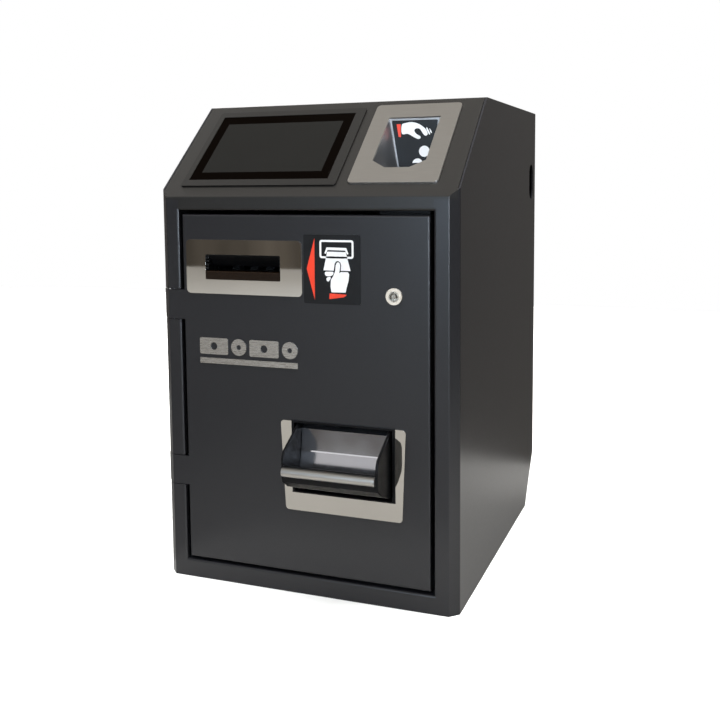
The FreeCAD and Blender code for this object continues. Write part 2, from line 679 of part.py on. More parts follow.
def coin_chute():
    """Bright folded sheet that coins run down: a ramp with guides, a steep face, a shoulder and a foot."""
    thick = 1.2
    face = [(-4.5, 129.5), (3.9, 161.6), (4.8, 162.9), (8.0, 186.0), (12.0, 188.2)]
    back = [(12.0, 186.8), (9.2, 185.3), (6.0, 162.4), (5.1, 161.2), (-3.2, 129.5)]
    ramp = [(12.0, 188.2), (42.0, 205.0), (42.0, 203.6), (12.0, 186.8)]
    guide = [(12.0, 187.0), (42.0, 203.8), (42.0, 213.5), (30.0, 208.0), (12.0, 193.4)]
    inner = (TRAY_X[0] + TRAY_WALL + 0.5, TRAY_X[1] - TRAY_WALL - 0.5)
    left = prism_x(guide, TRAY_THROAT_X[0], TRAY_THROAT_X[0] + thick)
    right = prism_x(guide, TRAY_THROAT_X[1] - thick, TRAY_THROAT_X[1])
    return fuse(prism_x(face + back, *inner), prism_x(ramp, *TRAY_THROAT_X), left, right)


# ---------------------------------------------------------------- inside the cabinet

def shelf():
    """Tray on which the note and coin units stand, turned down at the front and the back."""
    deck = box(-SIDE_IN, SIDE_IN, 34, 350, SHELF_Z, SHELF_Z + 2)
    front = box(-SIDE_IN, SIDE_IN, 34, 36, SHELF_Z - 16, SHELF_Z)
    rear = box(-SIDE_IN, SIDE_IN, 348, 350, SHELF_Z - 16, SHELF_Z)
    return fuse(deck, front, rear)


def divider():
    """Upright plate between the note unit and the coin unit, on a folded foot."""
    wall = box(-6, -4, 60, 330, SHELF_Z + 2, 400)
    foot = box(-4, 2, 60, 330, SHELF_Z + 2, SHELF_Z + 4)
    return fuse(wall, foot)


def open_box(xs, ys, zs, wall):
    """A box open at the top."""
    hollow = box(xs[0] + wall, xs[1] - wall, ys[0] + wall, ys[1] - wall, zs[0] + wall, zs[1] + 1)
    return box(*xs, *ys, *zs).cut(hollow)


def note_validator():
    """Reading head behind the note mouth: a slot in its face and a channel for the feed rollers."""
    case = round_upright(box(*NOTE_X, 30, 200, STORE_TOP, 398), 4.0)
    nose = box(SLOT_NOTE_X[0] - 4, SLOT_NOTE_X[1] + 4, 25, 31, SLOT_NOTE_Z[0] - 10, SLOT_NOTE_Z[1] + 10)
    channel = box(SLOT_NOTE_X[0], SLOT_NOTE_X[1], 38, 72, ROLLER_NIP - 22, ROLLER_NIP + 22)
    slot = box(*SLOT_NOTE_X, 20, 39, SLOT_NOTE_Z[0] - 0.5, SLOT_NOTE_Z[1] + 0.5)
    path = box(*SLOT_NOTE_X, 70, 201, ROLLER_NIP - 2, ROLLER_NIP + 2)
    body = fuse(case, nose).cut(channel).cut(slot).cut(path)
    for z in (ROLLER_NIP - ROLLER_R - 0.3, ROLLER_NIP + ROLLER_R + 0.3):
        body = body.cut(rod(3.06, (SLOT_NOTE_X[0] - 6, ROLLER_Y, z), (1, 0, 0), 100))
    return body


def feed_roller(side):
    """Shaft with four rubber-tyred wheels; side is +1 above the note and -1 below it."""
    z = ROLLER_NIP + side * (ROLLER_R + 0.3)
    shaft = rod(3.0, (SLOT_NOTE_X[0] - 5, ROLLER_Y, z), (1, 0, 0), 98)
    wheels = [rod(ROLLER_R, (x, ROLLER_Y, z), (1, 0, 0), 10) for x in (-108, -84, -64, -40)]
    return fuse(shaft, *wheels)


def note_store():
    """Case of the note recycler, open towards the door in a window that shows the drum."""
    case = round_upright(box(*NOTE_X, 36, 236, CASH_BOX_TOP, STORE_TOP), 4.0)
    hollow = box(NOTE_X[0] + 4, NOTE_X[1] - 4, 40, 232, CASH_BOX_TOP + 4, STORE_TOP - 4)
    window = box(NOTE_X[0] + 16, NOTE_X[1] - 16, 30, 45, 184, 268)
    bore = rod(5.06, (NOTE_X[0] - 1, *DRUM_AXIS), (1, 0, 0), 120)
    return case.cut(hollow).cut(window).cut(bore)


def note_drum():
    """Storage drum: a spool with two flanges on a shaft, and banknotes wound on it."""
    length = NOTE_X[1] - NOTE_X[0]
    shaft = rod(5.0, (NOTE_X[0] + 0.5, *DRUM_AXIS), (1, 0, 0), length - 1)
    roll = rod(DRUM_R - 8, (NOTE_X[0] + 12, *DRUM_AXIS), (1, 0, 0), length - 24)
    flanges = [rod(DRUM_R, (x, *DRUM_AXIS), (1, 0, 0), 3) for x in (NOTE_X[0] + 8, NOTE_X[1] - 11)]
    drum = fuse(shaft, roll, *flanges)
    for turn in range(0, 360, 60):
        y = DRUM_AXIS[0] + 24 * math.cos(math.radians(turn))
        z = DRUM_AXIS[1] + 24 * math.sin(math.radians(turn))
        drum = drum.cut(rod(7, (NOTE_X[0] + 7, y, z), (1, 0, 0), 4))
        drum = drum.cut(rod(7, (NOTE_X[1] - 11, y, z), (1, 0, 0), 4))
    return drum


def cash_box(xs, ys, zs):
    """Closed removable box with a groove all round under its lid."""
    body = round_upright(box(*xs, *ys, *zs), 4.0)
    around = box(xs[0] - 1, xs[1] + 1, ys[0] - 1, ys[1] + 1, zs[1] - 14, zs[1] - 12.5)
    core = box(xs[0] + 2, xs[1] - 2, ys[0] + 2, ys[1] - 2, zs[1] - 15, zs[1] - 12)
    return body.cut(around.cut(core))


def bail(middle, y, z):
    """Pull handle bent from rod, standing out of a face at y."""
    radius = 3.0
    reach = 14.0
    x0, x1 = middle - 29, middle + 29
    grip = rod(radius, (x0, y - reach, z), (1, 0, 0), x1 - x0)
    legs = [rod(radius, (x, y - reach, z), (0, 1, 0), reach) for x in (x0, x1)]
    elbows = [Part.makeSphere(radius, Vector(x, y - reach, z)) for x in (x0, x1)]
    return grip.multiFuse(legs + elbows)


def coin_validator():
    """Drop-in coin acceptor under the funnel: a well in its top and a chute out of its foot."""
    case = round_upright(box(COIN_MID - 32, COIN_MID + 32, 58, 118, 352, FUNNEL_LOW_Z - 2), 4.0)
    well = box(COIN_MID - 14, COIN_MID + 14, 74, 98, 400, FUNNEL_LOW_Z)
    drop = box(COIN_MID - 14, COIN_MID + 14, 84, 92, 350, 402)
    return case.cut(well).cut(drop)


def validator_bracket():
    """Bent bracket that hangs the coin acceptor on the divider."""
    deck = box(-4, COIN_MID + 32, 120, 150, 396, 398)
    drop = box(COIN_MID - 32, COIN_MID + 32, 118, 120, 360, 398)
    return fuse(deck, drop)


def coin_hopper():
    """Coin recycler bin: open at the top, with a round well for the disc and an exit at the front."""
    z0, z1 = 222, 346
    block = round_upright(box(*COIN_CASE_X, 78, 202, z0, z1), 5.0)
    well = rod(DISC_R + 1.5, (DISC_X, DISC_Y, z0 + 6), (0, 0, 1), 30)
    cone = Part.makeCone(DISC_R + 1.5, 58, z1 - z0 - 34, Vector(DISC_X, DISC_Y, z0 + 35))
    mouth = box(COIN_CASE_X[0] + 5, COIN_CASE_X[1] - 5, 83, 197, z1 - 20, z1 + 1)
    exit_slot = box(DISC_X - 16, DISC_X + 16, 70, 100, z0 + 12, z0 + 26)
    shaft = rod(6.06, (DISC_X, DISC_Y, z0 - 1), (0, 0, 1), 10)
    return block.cut(well).cut(cone).cut(mouth).cut(exit_slot).cut(shaft)


def coin_disc():
    """Turning disc with six coin pockets, on a stub shaft."""
    disc = rod(DISC_R, (DISC_X, DISC_Y, 228.5), (0, 0, 1), 5)
    hub = Part.makeCone(14, 6, 12, Vector(DISC_X, DISC_Y, 233.5))
    shaft = rod(6.0, (DISC_X, DISC_Y, 214), (0, 0, 1), 15)
    disc = fuse(disc, hub, shaft)
    for turn in range(0, 360, 60):
        x = DISC_X + 32 * math.cos(math.radians(turn))
        y = DISC_Y + 32 * math.sin(math.radians(turn))
        disc = disc.cut(rod(13.5, (x, y, 228), (0, 0, 1), 6))
    return disc


def coin_motor():
    """Gear motor under the hopper: a flange, a gearbox and a can."""
    gearbox = box(DISC_X - 28, DISC_X + 28, DISC_Y - 28, DISC_Y + 28, 192, 222)
    bore = rod(6.06, (DISC_X, DISC_Y, 212), (0, 0, 1), 12)
    can = rod(19, (DISC_X, DISC_Y, 158), (0, 0, 1), 34)
    return fuse(gearbox, can).cut(bore)


def hopper_stand():
    """Two folded legs that carry the coin hopper above the coin box."""
    legs = []
    left, right = COIN_CASE_X
    for wall_x, base_x in (((left, left + 2), (left, left + 10)), ((right - 2, right), (right - 10, right))):
        wall = box(*wall_x, 90, 190, SHELF_Z + 2, 222)
        base = box(*base_x, 90, 190, SHELF_Z + 2, SHELF_Z + 4)
        legs.append(fuse(wall, base))
    return group(*legs)


def exit_chute():
    """Folded channel that carries coins from the hopper's exit to the door."""
    floor = [(78, 233), (78, 231.4), (40, 215.4), (40, 217)]
    wall = [(78, 231.4), (78, 250), (60, 244), (40, 228), (40, 215.4)]
    left, right = DISC_X - 18, DISC_X + 18
    channel = prism_x(floor, left, right)
    return fuse(channel, prism_x(wall, left - 1.5, left), prism_x(wall, right, right + 1.5))


def controller_board():
    """Circuit board on the left side, with its processor heat sink and connectors."""
    face = -SIDE_IN + 8
    board = box(face, face + 1.6, 230, 350, 330, 430)
    sink = box(face + 1.6, face + 4, 270, 310, 365, 405)
    fins = [box(face + 4, face + 14, y, y + 2, 365, 405) for y in range(270, 310, 6)]
    connectors = [box(face + 1.6, face + 11, 236 + 20 * i, 251 + 20 * i, 334, 344) for i in range(5)]
    chips = [box(face + 1.6, face + 3.4, 240, 256, z, z + 12) for z in (360, 380, 400)]
    return fuse(board, sink, *fins, *connectors, *chips)


def board_standoffs():
    face = -SIDE_IN
    return group(*[rod(3, (face, y, z), (1, 0, 0), 8) for y in (235, 345) for z in (351, 425)])


def power_supply():
    """Enclosed supply on the left, with vent slots on the side towards the middle."""
    case = box(-SIDE_IN, -SIDE_IN + 38, 250, 345, 60, 250)
    slots = [box(-SIDE_IN + 36, -SIDE_IN + 39, 262, 333, z, z + 4) for z in range(80, 240, 12)]
    for slot in slots:
        case = case.cut(slot)
    return case


def fan_frame():
    half = FAN_SIZE / 2
    y0 = DEPTH - SHEET - 25
    frame = box(FAN_X - half, FAN_X + half, y0, DEPTH - SHEET, FAN_Z - half, FAN_Z + half)
    rim = [e for e in frame.Edges if runs_along(e, 1)]
    frame = frame.makeFillet(5.0, rim)
    frame = frame.cut(rod(half - 2, (FAN_X, y0 - 1, FAN_Z), (0, 1, 0), 30))
    motor = rod(16, (FAN_X, y0, FAN_Z), (0, 1, 0), 4)
    struts = [box(FAN_X - half + 1, FAN_X + half - 1, y0, y0 + 3, FAN_Z - 2, FAN_Z + 2)]
    struts.append(box(FAN_X - 2, FAN_X + 2, y0, y0 + 3, FAN_Z - half + 1, FAN_Z + half - 1))
    return fuse(frame, motor, *struts).cut(rod(2.06, (FAN_X, y0 - 1, FAN_Z), (0, 1, 0), 8))


def fan_rotor():
    """Hub with seven pitched blades."""
    y0 = DEPTH - SHEET - 20
    hub = rod(17, (FAN_X, y0, FAN_Z), (0, 1, 0), 16)
    axle = rod(2.0, (FAN_X, y0 - 4, FAN_Z), (0, 1, 0), 6)
    rotor = hub.fuse(axle)
    for number in range(7):
        blade = box(15, 36.5, -0.9, 0.9, -7.5, 7.5)
        blade.Placement = Placement(Vector(0, 0, 0), Rotation(Vector(1, 0, 0), 38))
        stand = Placement(Vector(FAN_X, y0 + 8, FAN_Z), Rotation(Vector(0, 1, 0), number * 360 / 7))
        upright = Placement(Vector(0, 0, 0), Rotation(Vector(1, 0, 0), 90))
        blade.Placement = stand.multiply(upright).multiply(blade.Placement)
        rotor = rotor.fuse(blade)
    return rotor


def fan_guard():
    """Wire guard over the fan opening: rings on a cross."""
    y = DEPTH
    rings = [tube(r + 1.0, r - 1.0, (FAN_X, y + 1.5, FAN_Z), (0, 1, 0), 2) for r in (12, 20, 28, 36)]
    arms = []
    for turn in (45, 135):
        arm = box(-44, 44, 0, 1.5, -1, 1)
        arm.Placement = Placement(Vector(FAN_X, y, FAN_Z), Rotation(Vector(0, 1, 0), turn))
        arms.append(arm)
    return fuse(*rings, *arms)


def power_inlet():
    """Housing of the mains inlet on the slanted panel: a flange and a deep socket."""
    flange = plate((INLET_U - 33, INLET_U + 4.8), (INLET_V - 18, INLET_V + 18), (0, 2.5))
    body = plate((INLET_U - 28.5, INLET_U + 3), (INLET_V - 14.5, INLET_V + 14.5), (-18, 0))
    socket = plate((INLET_U - 24.5, INLET_U + 0.5), (INLET_V - 9.5, INLET_V + 9.5), (-16, 4))
    return on_rear_cut(fuse(flange, body).cut(socket))


def inlet_pins():
    pins = []
    for u, v in ((-19, -2), (-12, 3), (-5, -2)):
        u += INLET_U
        v += INLET_V
        pins.append(plate((u - 1, u + 1), (v - 3, v + 3), (-16, -2)))
    return on_rear_cut(group(*pins))


def switch_housing():
    """Frame of the mains switch beside the inlet, with the axle of its rocker."""
    flange = plate((INLET_U + 5, INLET_U + 33), (INLET_V - 18, INLET_V + 18), (0, 2.5))
    body = plate((INLET_U + 6.5, INLET_U + 28.5), (INLET_V - 14.5, INLET_V + 14.5), (-14, 0))
    well = plate((INLET_U + 8, INLET_U + 26), (INLET_V - 11.8, INLET_V + 11.8), (-10, 4))
    axle = rod(1.5, (INLET_U + 7, INLET_V, ROCKER_W), (1, 0, 0), 20)
    return on_rear_cut(fuse(fuse(flange, body).cut(well), axle))


def switch_rocker():
    """Rocker that tips about the axle across its well; drawn tipped to its ON side."""
    outline = [(-9.5, -2.5), (-9.5, -0.4), (0, 1.4), (9.5, 3.4), (9.5, 0.4), (3.4, -4.6), (0, -6.4)]
    outline += [(-3.4, -4.6)]
    rocker = face_of([(INLET_U + 8.6, INLET_V + v, w) for v, w in outline]).extrude(Vector(16.8, 0, 0))
    return on_rear_cut(rocker.cut(rod(1.56, (INLET_U, INLET_V, ROCKER_W), (1, 0, 0), 40)))


def port(u, width, height):
    """Metal shell of a socket with a flange against the inside of the panel."""
    wall = 1.2
    low, high = INLET_V - height / 2, INLET_V + height / 2
    shell = plate((u, u + width), (low, high), (-12.4, 0.8))
    flange = plate((u - 1.4, u + width + 1.4), (low - 2, high + 2), (-SHEET - 1, -SHEET))
    mouth = plate((u + wall, u + width - wall), (low + wall, high - wall), (-10, 2))
    return fuse(shell, flange).cut(mouth)


def all_nodes():
    shell = cabinet_shell()
    note_mid = (NOTE_X[0] + NOTE_X[1]) / 2
    coin_box_x = (COIN_CASE_X[0] + 14, COIN_CASE_X[1] - 14)
    return {
        "left_side_panel": left_side_panel(shell),
        "right_side_panel": right_side_panel(shell),
        "fascia_and_roof": fascia(shell),
        "base_plate": base_plate(shell),
        "rear_panel": rear_panel(shell),
        "rear_panel_screws": rear_screws(),
        "connector_panel": connector_panel(shell),
        "hinge_brackets": hinge_brackets(),
        "screen_frame": screen_frame(),
        "touch_glass": touch_glass(),
        "display_module": display_module(),
        "coin_bezel": coin_bezel(),
        "coin_funnel": coin_funnel(),
        "coin_label": coin_label(),
        "shelf": shelf(),
        "divider": divider(),
        "note_validator": note_validator(),
        "feed_roller_upper": feed_roller(1),
        "feed_roller_lower": feed_roller(-1),
        "note_store": note_store(),
        "note_drum": note_drum(),
        "note_cash_box": cash_box(NOTE_X, (38, 236), (SHELF_Z + 2, CASH_BOX_TOP)),
        "coin_validator": coin_validator(),
        "validator_bracket": validator_bracket(),
        "coin_hopper": coin_hopper(),
        "coin_disc": coin_disc(),
        "coin_motor": coin_motor(),
        "hopper_stand": hopper_stand(),
        "exit_chute": exit_chute(),
        "coin_cash_box": open_box(coin_box_x, (62, 236), (SHELF_Z + 2, 112), 2.0),
        "cash_box_handles": group(bail(note_mid, 38, 92), bail(DISC_X, 62, 76)),
        "controller_board": controller_board(),
        "board_standoffs": board_standoffs(),
        "power_supply": power_supply(),
        "fan_frame": fan_frame(),
        "fan_rotor": fan_rotor(),
        "fan_guard": fan_guard(),
        "power_inlet": power_inlet(),
        "inlet_pins": inlet_pins(),
        "switch_housing": switch_housing(),
        "switch_rocker": switch_rocker(),
        "network_port": on_rear_cut(port(*PORTS[0])),
        "usb_ports": on_rear_cut(group(*[port(*size) for size in PORTS[1:]])),
        "door_panel": door_panel(),
        "door_stiffener": door_stiffener(),
        "hinge_pins": hinge_pins(),
        "note_bezel": note_bezel(),
        "note_throat": note_throat(),
        "note_lip": note_lip(),
        "note_label": note_label(),
        "badge": badge(),
        "lock_barrel": lock_barrel(),
        "lock_nut": lock_nut(),
        "lock_plug": lock_plug(),
        "lock_cam": lock_cam(),
        "tray_plate": tray_plate(),
        "tray_frame": tray_frame(),
        "coin_chute": coin_chute(),
        "tray_cup": tray_cup(),
        "tray_handle": tray_handle(),
    }


def main():
    os.makedirs("parts", exist_ok=True)
    for name, shape in all_nodes().items():
        shape.translate(Vector(0, -ANCHOR_Y, 0))
        shape.exportStep("parts/" + name + ".step")


main()
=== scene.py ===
import math

import bmesh
import bpy
from mathutils import Matrix, Vector


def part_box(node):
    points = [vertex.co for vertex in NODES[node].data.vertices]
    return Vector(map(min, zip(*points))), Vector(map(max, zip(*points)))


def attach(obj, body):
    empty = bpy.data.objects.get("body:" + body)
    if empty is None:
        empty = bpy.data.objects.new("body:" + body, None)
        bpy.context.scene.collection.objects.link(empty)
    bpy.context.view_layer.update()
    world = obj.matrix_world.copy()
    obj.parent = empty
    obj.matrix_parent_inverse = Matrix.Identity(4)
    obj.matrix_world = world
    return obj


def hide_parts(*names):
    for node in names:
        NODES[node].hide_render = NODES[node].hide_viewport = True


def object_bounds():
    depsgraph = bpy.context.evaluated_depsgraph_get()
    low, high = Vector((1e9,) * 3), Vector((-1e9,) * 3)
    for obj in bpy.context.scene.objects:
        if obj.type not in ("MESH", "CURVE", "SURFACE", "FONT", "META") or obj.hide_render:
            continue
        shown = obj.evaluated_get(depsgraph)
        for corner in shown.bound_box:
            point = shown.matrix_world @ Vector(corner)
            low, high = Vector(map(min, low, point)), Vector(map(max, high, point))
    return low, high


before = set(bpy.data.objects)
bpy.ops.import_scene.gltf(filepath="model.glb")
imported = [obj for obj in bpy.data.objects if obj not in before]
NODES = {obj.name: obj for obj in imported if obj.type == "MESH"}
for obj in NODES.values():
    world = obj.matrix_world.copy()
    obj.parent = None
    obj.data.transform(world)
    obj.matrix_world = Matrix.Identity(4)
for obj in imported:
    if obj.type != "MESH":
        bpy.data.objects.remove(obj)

CAD_BOX = [list(corner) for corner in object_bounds()]
MM = 0.001

# ---------------------------------------------------------------- places on the object

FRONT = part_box("door_panel")[0].y
FUNNEL_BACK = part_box("coin_label")[0].y
FOLD_Z = 0.441
SLOPE_RUN, SLOPE_RISE = 0.125, 0.108
SLOPE_UP = Vector((0, SLOPE_RUN, SLOPE_RISE)).normalized()
SLOPE_OUT = Vector((0, -SLOPE_UP.z, SLOPE_UP.y))


def on_front(x, z, out=0.0):
    """A point on the door's face: x and height in mm, and mm out of the face."""
    return Vector((x * MM, FRONT - out * MM, z * MM))


def on_slope(x, v, out=0.0):
    """A point on the fascia: x and mm up the slope, and mm out of it."""
    return Vector((x * MM, FRONT, FOLD_Z)) + SLOPE_UP * (v * MM) + SLOPE_OUT * (out * MM)


def on_funnel_back(x, z, out=0.0):
    """A point on the label at the back of the coin funnel."""
    return Vector((x * MM, FUNNEL_BACK - out * MM, z * MM))


# ---------------------------------------------------------------- mesh helpers

HARD_ANGLE = 35
MERGE_DISTANCE = 1e-7
WELD_DISTANCE = 1e-6


def new_object(name, bm):
    """Turn a finished bmesh into an object of the scene."""
    mesh = bpy.data.meshes.new(name)
    bm.to_mesh(mesh)
    bm.free()
    obj = bpy.data.objects.new(name, mesh)
    bpy.context.scene.collection.objects.link(obj)
    return obj


def finish_piece(name, bm, materials, body, hard_angle=HARD_ANGLE):
    """Close a visual piece, shade it smooth up to an angle in degrees and fix it to a body."""
    bmesh.ops.remove_doubles(bm, verts=bm.verts, dist=MERGE_DISTANCE)
    bmesh.ops.recalc_face_normals(bm, faces=bm.faces)
    bm.normal_update()
    limit = math.radians(hard_angle)
    for face in bm.faces:
        face.smooth = True
    for edge in bm.edges:
        edge.smooth = len(edge.link_faces) == 2 and edge.calc_face_angle(0) < limit
    obj = new_object(name, bm)
    for material in materials:
        obj.data.materials.append(material)
    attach(obj, body)
    return obj


def add_bevel(obj, width):
    """A bevel of that many mm on every hard edge."""
    mod = obj.modifiers.new("edges", "BEVEL")
    mod.width = width * MM
    mod.segments = 2
    mod.limit_method = "ANGLE"
    mod.angle_limit = math.radians(HARD_ANGLE)
    mod.use_clamp_overlap = True
    mod.harden_normals = True


def rounded(points, radius, steps):
    """Round the corners of an outline of (u, v) points."""
    out = []
    for i, here in enumerate(points):
        p, a, b = Vector(here), Vector(points[i - 1]), Vector(points[(i + 1) % len(points)])
        da, db = (a - p).normalized(), (b - p).normalized()
        half = da.angle(db) / 2
        reach = radius / math.tan(half)
        centre = p + (da + db).normalized() * (radius / math.sin(half))
        start, end = p + da * reach - centre, p + db * reach - centre
        turn = start.angle_signed(end)
        for k in range(steps + 1):
            c, s = math.cos(-turn * k / steps), math.sin(-turn * k / steps)
            out.append((centre.x + c * start.x - s * start.y, centre.y + s * start.x + c * start.y))
    return out


def smooth_loop(points, steps=5):
    """A closed smooth curve through the points."""
    out = []
    count = len(points)
    for i in range(count):
        p0, p1, p2, p3 = (Vector(points[(i + k) % count]) for k in (-1, 0, 1, 2))
        for k in range(steps):
            t = k / steps
            q = 0.5 * ((2 * p1) + (p2 - p0) * t + (2 * p0 - 5 * p1 + 4 * p2 - p3) * t * t
                       + (3 * p1 - p0 - 3 * p2 + p3) * t ** 3)
            out.append((q.x, q.y))
    return out


def rect(u0, u1, v0, v1):
    """The outline of a box."""
    return [(u0, v0), (u1, v0), (u1, v1), (u0, v1)]


def inset(box, by):
    """A (u0, u1, v0, v1) box made smaller on every side."""
    u0, u1, v0, v1 = box
    return u0 + by, u1 - by, v0 + by, v1 - by


def disc(u, v, r, count=32):
    """The outline of a circle."""
    return [(u + r * math.cos(2 * math.pi * k / count), v + r * math.sin(2 * math.pi * k / count))
            for k in range(count)]


def join_loops(bm, loops):
    """Bands of faces, each from one loop of vertices to the next."""
    for one, other in zip(loops, loops[1:]):
        for i in range(len(one)):
            j = (i + 1) % len(one)
            bm.faces.new((one[i], one[j], other[j], other[i]))


def add_prism(bm, outline, place, low, high):
    """A closed plate with that outline between two heights above the surface."""
    bottom, top = ([bm.verts.new(place(u, v, w)) for u, v in outline] for w in (low, high))
    bm.faces.new(bottom[::-1])
    bm.faces.new(top)
    join_loops(bm, [bottom, top])


def add_ring(bm, outer, inner, place, low, high):
    """A flat frame between two outlines with the same number of points."""
    loops = [[bm.verts.new(place(u, v, w)) for u, v in line]
             for line, w in ((outer, low), (outer, high), (inner, high), (inner, low))]
    join_loops(bm, loops + loops[:1])


# ---------------------------------------------------------------- materials

NOISE_LOW, NOISE_HIGH = 0.3, 0.7
EVEN = (1, 1, 1)
ALONG_GRAIN, ACROSS_GRAIN = 0.25, 14.0
SURFACE_DETAIL = 3.0
RELIEF_DETAIL = 2.0


def add_node(tree, kind, inputs=(), **settings):
    """A shader node with its settings and the values of its unlinked inputs."""
    node = tree.nodes.new(kind)
    for key, value in settings.items():
        setattr(node, key, value)
    for key, value in dict(inputs).items():
        node.inputs[key].default_value = value
    return node


def map_range(tree, value, source, target, **settings):
    """Carry a value from one range over to another."""
    node = add_node(tree, "ShaderNodeMapRange", {
        "From Min": source[0], "From Max": source[1], "To Min": target[0], "To Max": target[1],
    }, **settings)
    tree.links.new(value, node.inputs["Value"])
    return node.outputs["Result"]


def noise(tree, vector, scale, detail, stretch):
    """Noise over a vector, drawn out along the axes with a small stretch."""
    mapping = add_node(tree, "ShaderNodeMapping", {"Scale": stretch})
    tree.links.new(vector, mapping.inputs["Vector"])
    node = add_node(tree, "ShaderNodeTexNoise", {"Scale": scale, "Detail": detail})
    tree.links.new(mapping.outputs["Vector"], node.inputs["Vector"])
    return node.outputs["Fac"]


class Nodes:
    """A material with a Principled shader and short ways to feed it."""

    def __init__(self, name, color, rough, metal=0.0, **inputs):
        self.material = bpy.data.materials.new(name)
        self.material.use_nodes = True
        self.tree = self.material.node_tree
        self.bsdf = self.tree.nodes["Principled BSDF"]
        self.bsdf.inputs["Base Color"].default_value = (*color, 1)
        self.bsdf.inputs["Roughness"].default_value = rough
        self.bsdf.inputs["Metallic"].default_value = metal
        for key, value in inputs.items():
            self.bsdf.inputs[key.replace("_", " ")].default_value = value
        self.color = color
        self.rough = rough
        self.place = add_node(self.tree, "ShaderNodeTexCoord").outputs["Object"]

    def feed(self, output, key):
        """Link an output to one of the shader's inputs."""
        self.tree.links.new(output, self.bsdf.inputs[key])
        return self

    def varied(self, scale, detail, stretch, low, high):
        """Noise over the object, between a low and a high value."""
        value = noise(self.tree, self.place, scale, detail, stretch)
        return map_range(self.tree, value, (NOISE_LOW, NOISE_HIGH), (low, high))

    def mottle(self, scale, amount, stretch=EVEN, detail=SURFACE_DETAIL):
        """Let the colour wander between a darker and a lighter shade."""
        mix = add_node(self.tree, "ShaderNodeMix", data_type="RGBA")
        mix.inputs["A"].default_value = (*[c * (1 - amount) for c in self.color], 1)
        mix.inputs["B"].default_value = (*[c * (1 + amount) for c in self.color], 1)
        self.tree.links.new(self.varied(scale, detail, stretch, 0, 1), mix.inputs["Factor"])
        return self.feed(mix.outputs["Result"], "Base Color")

    def vary_rough(self, scale, amount, stretch=EVEN):
        """Let the roughness wander by an amount to both sides."""
        low, high = self.rough - amount, self.rough + amount
        value = self.varied(scale, SURFACE_DETAIL, stretch, low, high)
        return self.feed(value, "Roughness")

    def bump(self, scale, strength, distance, stretch=EVEN):
        """Fine relief; the distance is in mm."""
        node = add_node(self.tree, "ShaderNodeBump",
                        {"Strength": strength, "Distance": distance * MM})
        relief = noise(self.tree, self.place, scale, RELIEF_DETAIL, stretch)
        self.tree.links.new(relief, node.inputs["Height"])
        return self.feed(node.outputs["Normal"], "Normal")


def powder(name, color, rough=0.42, level=0.5):
    """Satin powder coat: fine orange peel and a faint fleck."""
    m = Nodes(name, color, rough, Specular_IOR_Level=level)
    m.mottle(scale=900, amount=0.12, detail=2)
    m.vary_rough(scale=500, amount=0.012)
    return m.bump(scale=700, strength=0.05, distance=0.12).material


def brushed(name, color, rough, along, scale=300, metal=1.0, strength=0.12):
    """Metal brushed along one axis: long fine streaks."""
    stretch = [ALONG_GRAIN if axis == along else ACROSS_GRAIN for axis in "xyz"]
    m = Nodes(name, color, rough, metal)
    m.mottle(scale, amount=0.06, stretch=stretch)
    m.vary_rough(scale, amount=0.07, stretch=stretch)
    return m.bump(scale, strength, distance=0.02, stretch=stretch).material


def moulded(name, color, rough, **inputs):
    """Plastic, rubber, paper or print: a very fine grain."""
    m = Nodes(name, color, rough, **inputs)
    m.mottle(scale=40, amount=0.08)
    m.vary_rough(scale=90, amount=0.05)
    return m.bump(scale=1200, strength=0.12, distance=0.05).material


def pane(name, color, rough, level):
    """Coated glass over a dark print: hardly any relief and a weak reflection."""
    m = Nodes(name, color, rough, Specular_IOR_Level=level)
    m.mottle(scale=12, amount=0.04)
    m.vary_rough(scale=30, amount=0.02)
    return m.bump(scale=15, strength=0.01, distance=0.1).material


def mirror(name, color, rough, metal=1.0):
    """Smooth rolled or polished sheet: slow waves that bend what it reflects."""
    m = Nodes(name, color, rough, metal)
    m.mottle(scale=18, amount=0.03)
    m.vary_rough(scale=40, amount=0.2 * rough)
    return m.bump(scale=22, strength=0.03, distance=0.25).material


PAINT = powder("paint_anthracite", (0.0105, 0.0105, 0.0125), 0.29)
# The fascia and roof take a warmer copy of the anthracite paint: its brown tint is painted warm
# light from above.
PAINT_TOP_WARM_LIGHT = powder("paint_anthracite_top_warm_light", (0.0105, 0.0097, 0.0088), 0.36, 0.44)
PAINT_FRAME = powder("paint_screen_frame", (0.0085, 0.0080, 0.0073), 0.36, 0.32)
ZINC = brushed("zinc_plated", (0.52, 0.53, 0.55), 0.38, "x", 120)
ZINC_Z = brushed("zinc_plated_upright", (0.50, 0.51, 0.53), 0.40, "z", 120)
MIRROR = mirror("polished_stainless", (0.62, 0.60, 0.56), 0.025)
CHUTE = mirror("rolled_chute", (0.54, 0.54, 0.57), 0.12, metal=0.96)
BRUSHED_X = brushed("brushed_stainless_x", (0.41, 0.395, 0.37), 0.36, "x", strength=0.03)
BRUSHED_COIN = brushed("brushed_stainless_coin", (0.62, 0.59, 0.55), 0.42, "x", 200)
BADGE = brushed("brushed_badge", (0.50, 0.48, 0.45), 0.26, "x", strength=0.06)
LOCK = brushed("nickel_lock", (0.90, 0.83, 0.72), 0.22, "z", 400, metal=0.6)
LOCK_DARK = brushed("nickel_plug", (0.42, 0.39, 0.34), 0.30, "z", 400)
FUNNEL = brushed("rolled_funnel", (0.30, 0.29, 0.285), 0.40, "z", 60, strength=0.05)
BLACK = moulded("black_plastic", (0.0045, 0.0045, 0.005), 0.36, Specular_IOR_Level=0.35)
BLACK_SATIN = moulded("satin_black", (0.0045, 0.0045, 0.005), 0.33, Specular_IOR_Level=0.10)
GREY = moulded("grey_plastic", (0.10, 0.10, 0.11), 0.48)
BLUE_GREY = moulded("hopper_plastic", (0.07, 0.085, 0.11), 0.42)
GLASS_BLACK = pane("screen_border", (0.0010, 0.0006, 0.0004), 0.10, 0.01)
